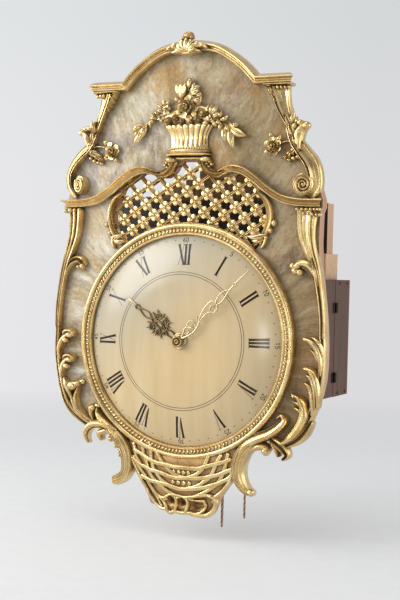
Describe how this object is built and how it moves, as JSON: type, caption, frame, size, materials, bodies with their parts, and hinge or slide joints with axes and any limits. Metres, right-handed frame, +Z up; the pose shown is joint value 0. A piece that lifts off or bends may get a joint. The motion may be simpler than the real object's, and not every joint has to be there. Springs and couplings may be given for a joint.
{
  "type": "flute clock",
  "caption": "Wall-hung flute clock: marbled facade in a gilt carved frame, domed dial with pierced hands, sound trellis and flower basket; a wooden case holds the going train and a pipe organ.",
  "frame": {"origin": "centre of the hanging hole in the iron hanger plate, on the wall plane", "axes": "+Y into the wall, so the dial faces -Y; +Z up; +X to the right as seen from the front"},
  "size_m": [0.5403, 0.2585, 0.8905],
  "materials": {
    "marble_paint": "faux marble paint",
    "gilt_wood": "water gilding on carved wood",
    "dial_paint": "glossy cream paint",
    "hand_brass": "polished",
    "hand_bronze": "dark lacquered",
    "case_wood": "dark stained",
    "iron": "blackened",
    "movement_wood": "plain",
    "gear_brass": "turned",
    "steel": "brushed",
    "organ_wood": "plain",
    "bellows_leather": "white leather",
    "cord_fibre": "twisted two-tone"
  },
  "bodies": {
    "case": {"facade_board": "marble_paint", "arch_moulding": "gilt_wood", "crest_shell": "gilt_wood", "cornice_moulding": "gilt_wood", "upper_bracket_left": "gilt_wood", "upper_bracket_right": "gilt_wood", "flower_basket": "gilt_wood", "flower_bouquet": "gilt_wood", "sound_trellis": "gilt_wood", "trellis_frame": "gilt_wood", "side_pilaster_left": "gilt_wood", "side_pilaster_right": "gilt_wood", "leaf_scrolls_left": "gilt_wood", "leaf_scrolls_right": "gilt_wood", "bottom_scroll_left": "gilt_wood", "bottom_scroll_right": "gilt_wood", "apron_basketwork": "gilt_wood", "dial_bezel": "gilt_wood", "dial": "dial_paint", "case_back": "case_wood", "case_left_side": "case_wood", "case_right_side": "case_wood", "case_top": "case_wood", "case_bottom": "case_wood", "door_hinges": "iron", "hanger_plate": "iron", "case_fasteners": "iron", "front_plate": "movement_wood", "back_plate": "movement_wood", "organ_bearings": "movement_wood", "key_rail": "movement_wood", "wind_chest": "organ_wood", "flute_pipes": "organ_wood", "bellows_lower_board": "organ_wood", "bellows_leather": "bellows_leather", "going_cord": "cord_fibre", "music_cord": "cord_fibre"},
    "door": {"side_door": "case_wood", "door_hinge_leaves": "iron"},
    "minute_arbor": {"centre_wheel": "gear_brass", "cannon_pinion": "gear_brass", "minute_hand": "hand_brass", "hand_nut": "hand_brass"},
    "hour_pipe": {"hour_wheel": "gear_brass", "hour_hand": "hand_bronze"},
    "great": {"great_wheel": "gear_brass"},
    "third": {"third_wheel": "gear_brass"},
    "escape": {"escape_wheel": "gear_brass"},
    "balance": {"anchor": "steel", "pendulum": "gear_brass"},
    "reduction": {"minute_wheel": "gear_brass"},
    "barrel": {"music_barrel": "organ_wood", "barrel_wheel": "gear_brass"},
    "crank": {"crank_wheel": "gear_brass"},
    "air_brake": {"fly": "gear_brass"},
    "bellows": {"bellows_upper_board": "organ_wood"},
    "key_a": {"key_1": "movement_wood"},
    "key_b": {"key_2": "movement_wood"},
    "key_c": {"key_3": "movement_wood"},
    "key_d": {"key_4": "movement_wood"}
  },
  "joints": [
    {"name": "minute_turn", "type": "hinge", "parent": "case", "child": "minute_arbor", "pos_m": [0, -0.19, -0.135], "axis": [0, 1, 0], "continuous": true},
    {"name": "hour_turn", "type": "hinge", "parent": "case", "child": "hour_pipe", "pos_m": [0, -0.19, -0.135], "axis": [0, 1, 0], "continuous": true},
    {"name": "great_turn", "type": "hinge", "parent": "case", "child": "great", "pos_m": [0.03864, -0.15, -0.14535], "axis": [0, 1, 0], "continuous": true},
    {"name": "third_turn", "type": "hinge", "parent": "case", "child": "third", "pos_m": [-0.0156, -0.15, -0.10798], "axis": [0, 1, 0], "continuous": true},
    {"name": "escape_turn", "type": "hinge", "parent": "case", "child": "escape", "pos_m": [-0.00147, -0.15, -0.08352], "axis": [0, 1, 0], "continuous": true},
    {"name": "reduction_turn", "type": "hinge", "parent": "case", "child": "reduction", "pos_m": [-0.02255, -0.19, -0.14321], "axis": [0, 1, 0], "continuous": true},
    {"name": "pendulum_swing", "type": "hinge", "parent": "case", "child": "balance", "pos_m": [-0.00147, -0.15, -0.05951], "axis": [0, 1, 0], "range_deg": [-3, 3]},
    {"name": "barrel_turn", "type": "hinge", "parent": "case", "child": "barrel", "pos_m": [0, -0.055, -0.075], "axis": [1, 0, 0], "continuous": true},
    {"name": "crank_turn", "type": "hinge", "parent": "case", "child": "crank", "pos_m": [-0.06, -0.06608, -0.10545], "axis": [1, 0, 0], "continuous": true},
    {"name": "fly_turn", "type": "hinge", "parent": "case", "child": "air_brake", "pos_m": [-0.06, -0.07126, -0.12477], "axis": [1, 0, 0], "continuous": true},
    {"name": "bellows_lift", "type": "hinge", "parent": "case", "child": "bellows", "pos_m": [-0.16, -0.03, -0.195], "axis": [-1, 0, 0], "range_deg": [0, 6], "deforming": ["bellows_leather"]},
    {"name": "door_swing", "type": "hinge", "parent": "case", "child": "door", "pos_m": [0.2334, -0.08, -0.135], "axis": [0, 0, 1], "range_deg": [0, 105]},
    {"name": "key_a_lift", "type": "hinge", "parent": "case", "child": "key_a", "pos_m": [-0.04, -0.03, -0.0474], "axis": [-1, 0, 0], "range_deg": [0, 3]},
    {"name": "key_b_lift", "type": "hinge", "parent": "case", "child": "key_b", "pos_m": [-0.022, -0.03, -0.0474], "axis": [-1, 0, 0], "range_deg": [0, 3]},
    {"name": "key_c_lift", "type": "hinge", "parent": "case", "child": "key_c", "pos_m": [-0.004, -0.03, -0.0474], "axis": [-1, 0, 0], "range_deg": [0, 3]},
    {"name": "key_d_lift", "type": "hinge", "parent": "case", "child": "key_d", "pos_m": [0.014, -0.03, -0.0474], "axis": [-1, 0, 0], "range_deg": [0, 3]}
  ],
  "couplings": [
    {"joint": "hour_turn", "follows": "minute_turn", "ratio": 0.083333},
    {"joint": "third_turn", "follows": "minute_turn", "ratio": -12},
    {"joint": "great_turn", "follows": "minute_turn", "ratio": -0.11111},
    {"joint": "escape_turn", "follows": "minute_turn", "ratio": 157.5},
    {"joint": "reduction_turn", "follows": "minute_turn", "ratio": -0.33333},
    {"joint": "crank_turn", "follows": "barrel_turn", "ratio": -8},
    {"joint": "fly_turn", "follows": "barrel_turn", "ratio": 72}
  ]
}
